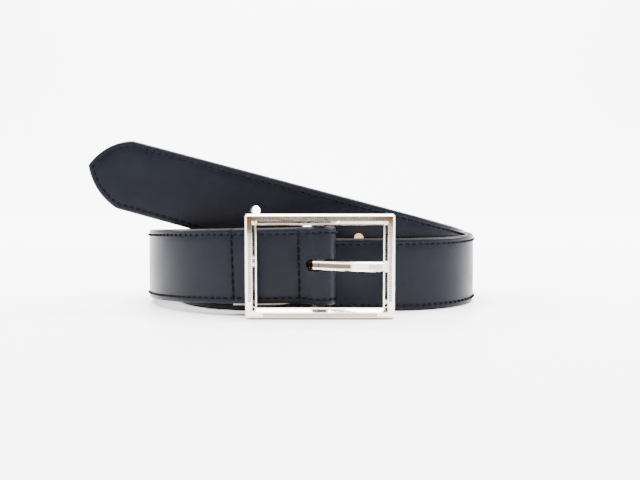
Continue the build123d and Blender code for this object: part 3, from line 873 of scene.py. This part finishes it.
def rib_lines():
    """A line in the middle of each of the frame's four pockets."""
    low, high = (Vector(corner) / MM for corner in NODE_BOX["buckle_frame"])
    y = low.y + POCKET_DEPTH + RIB_SET
    x_in, z_low, z_high = high.x - RAIL_MIDDLE, low.z + RAIL_MIDDLE, high.z - RAIL_MIDDLE
    x_end = high.x - POCKET_END - RIB_MARGIN
    z_end = (high.z - low.z) / 2 - POCKET_END - RIB_MARGIN
    lines = [((-x_end, y, z), (x_end, y, z)) for z in (z_low, z_high)]
    lines += [((x, y, MID_Z - z_end), (x, y, MID_Z + z_end)) for x in (-x_in, x_in)]
    return [[(Vector(place) * MM, OUTWARD) for place in line] for line in lines]


def patch_line():
    """The line of the small ribbed patch near the prong's tip."""
    front = NODE_BOX["prong"][0][1] / MM
    return [(Vector((x, front + back, MID_Z)) * MM, OUTWARD) for x, back in PATCH]


class BELT_OT_buckle(bpy.types.Operator):
    """Plates the buckle, the bar and the prong, and lays the ribs of the frame and prong"""

    bl_idname = "belt.buckle"
    bl_label = "Finish buckle"

    def execute(self, context):
        sizes = context.scene.belt_sizes
        metal = context.scene.belt_looks.metal
        # the ribs take the nickel painted darker, as painted shade
        ribbed = metal_material("reeded_nickel_painted_shade_look", RIB_SHADE_COLOUR, rough=0.16)
        dress("buckle_frame", metal_material("polished_nickel_look", metal, rough=0.07))
        # the prong's channel gets painted shade
        dress("prong", shaded_channel(metal_material("prong_nickel_look", metal, rough=0.10)))
        # the bar's dark colour is painted shade
        dress("centre_bar", metal_material("bar_painted_shade_look", BAR_SHADE_COLOUR, rough=0.40))
        shared = {"Pitch": sizes.rib, "Crest": (0, 0, 0), "Material": ribbed}
        rows = (
            ("frame_reeding", "frame", rib_lines(), RIB_R, RIB_HALF),
            ("prong_reeding", "prong", [patch_line()], PATCH_R, PATCH_HALF),
        )
        for name, body, lines, radius, half in rows:
            values = dict(shared, **{"Thickness": radius * MM, "Half Span": (0, half * MM, 0)})
            piece = lay_row(name, lines, values)
            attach(piece, body)
        return {"FINISHED"}


# ---- studio, in metres ----
FLOOR_FRONT = -0.62
FLOOR_BACK = 1.4
FLOOR_HALF_W = 4.0
FLOOR_DROP = 0.00005
WALL_CURVE = 0.8
WALL_TOP = 4.0
CURVE_START = 0.1
CURVE_POINTS = 14
FLOOR_COLOUR = (0.92, 0.92, 0.92)
FLOOR_SHINE = 0.35
ROOM_FRONT = (0.36, 0.215, 0.115, 1)
ROOM_SIDES = (0.07, 0.078, 0.09, 1)
ROOM_TOP = (1.6, 1.6, 1.6, 1)
WHITE = (1, 1, 1)
WARM_WHITE = (1, 0.99, 0.97)
CAMERA_PLACE = (0, -0.422, 0.064)
CAMERA_PITCH = 3.8
CAMERA_LENS = 52.5
# name, place, the point it aims at, width and height, share of the studio's power, colour
SOFTBOXES = (
    ("softbox_top", (0, 0.1, 1.3), (0, 0.1, 0), (1.7, 1.3), 1.0, WHITE),
    ("softbox_left", (-1.5, 0.5, 1.0), (0, 0.1, 0), (1.0, 0.8), 0.6, WARM_WHITE),
    ("softbox_right", (1.5, 0.5, 1.0), (0, 0.1, 0), (1.0, 0.8), 0.6, WARM_WHITE),
    ("softbox_back", (0, 0.9, 1.5), (0, 2.0, 0.4), (3.0, 0.8), 2.0, WHITE),
)


def area_light(name, place, aim, size, power, colour):
    """A rectangular soft light that looks at a point."""
    light = bpy.data.lights.new(name, "AREA")
    light.shape = "RECTANGLE"
    light.size, light.size_y = size
    light.energy = power
    light.color = colour
    lamp = put_in_scene(name, light)
    lamp.location = place
    lamp.rotation_euler = (Vector(aim) - Vector(place)).to_track_quat("-Z", "Y").to_euler()


def sweep_stage():
    """A floor that curves up into a back wall."""
    wall = FLOOR_BACK + WALL_CURVE
    depth = [(FLOOR_FRONT, 0.0), (FLOOR_BACK, 0.0)]
    depth += [(FLOOR_BACK + WALL_CURVE * sin(a), WALL_CURVE - WALL_CURVE * cos(a))
              for a in np.linspace(CURVE_START, pi / 2, CURVE_POINTS)]
    depth += [(wall, WALL_TOP)]
    verts = [(x, y, z - FLOOR_DROP) for x in (-FLOOR_HALF_W, FLOOR_HALF_W) for y, z in depth]
    count = len(depth)
    faces = [(i, i + count, i + count + 1, i + 1) for i in range(count - 1)]
    mesh = bpy.data.meshes.new("studio_floor")
    mesh.from_pydata(verts, [], faces)
    floor = put_in_scene("studio_floor", mesh)
    smooth(floor, 60)
    material, _, shader = new_material("studio_white", FLOOR_COLOUR, rough=0.35)
    shader.inputs["Specular IOR Level"].default_value = FLOOR_SHINE
    mesh.materials.append(material)


def studio_air():
    """Dark warm room in front, cool grey at the sides, bright overhead."""
    world = bpy.data.worlds.new("studio_air")
    world.use_nodes = True
    tree = world.node_tree
    coords = node(tree, "ShaderNodeTexCoord").outputs["Generated"]
    way = node(tree, "ShaderNodeSeparateXYZ", {0: coords})
    side = node(tree, "ShaderNodeMapRange", {"Value": way.outputs["Y"], "From Min": -0.95, "From Max": -0.6})
    high = node(tree, "ShaderNodeMapRange", {"Value": way.outputs["Z"], "From Min": 0.3, "From Max": 0.75})
    room = mix_colour(tree, side.outputs["Result"], ROOM_FRONT, ROOM_SIDES)
    whole = mix_colour(tree, high.outputs["Result"], room, ROOM_TOP)
    tree.links.new(whole, tree.nodes["Background"].inputs["Color"])
    return world


class BELT_OT_stage(bpy.types.Operator):
    """Sets up the floor, the soft lights and the camera"""

    bl_idname = "belt.stage"
    bl_label = "Set stage"

    def execute(self, context):
        sweep_stage()
        scene = context.scene
        for name, place, aim, size, share, colour in SOFTBOXES:
            area_light(name, place, aim, size, scene.belt_looks.light * share, colour)
        scene.world = studio_air()
        lens = bpy.data.cameras.new("studio_camera")
        lens.lens = CAMERA_LENS
        camera = put_in_scene("studio_camera", lens)
        camera.location = CAMERA_PLACE
        camera.rotation_euler = (radians(90 - CAMERA_PITCH), 0, 0)
        scene.camera = camera
        return {"FINISHED"}


class BELT_PT_panel(bpy.types.Panel):
    """The belt's sizes, colours and steps"""

    bl_idname = "BELT_PT_panel"
    bl_label = "Belt"
    bl_space_type = "VIEW_3D"
    bl_region_type = "UI"
    bl_category = "Belt"

    def draw(self, context):
        column = self.layout.column()
        for group in (context.scene.belt_sizes, context.scene.belt_looks):
            for name in group.__annotations__:
                column.prop(group, name)
        for step in STEPS:
            column.operator(step.bl_idname)


STEPS = (BELT_OT_strap, BELT_OT_stitching, BELT_OT_buckle, BELT_OT_stage)
CLASSES = (BeltSizes, BeltLooks, *STEPS, BELT_PT_panel)


def register():
    """Add the belt's classes and properties to Blender."""
    for kind in CLASSES:
        bpy.utils.register_class(kind)
    bpy.types.Scene.belt_sizes = bpy.props.PointerProperty(type=BeltSizes)
    bpy.types.Scene.belt_looks = bpy.props.PointerProperty(type=BeltLooks)


def unregister():
    """Take the belt's classes and properties out again."""
    del bpy.types.Scene.belt_looks
    del bpy.types.Scene.belt_sizes
    for kind in reversed(CLASSES):
        bpy.utils.unregister_class(kind)


def main():
    """Build the belt and its studio."""
    register()
    bpy.ops.belt.strap()
    bpy.ops.belt.stitching()
    bpy.ops.belt.buckle()
    bpy.ops.belt.stage()


if __name__ == "__main__":
    main()
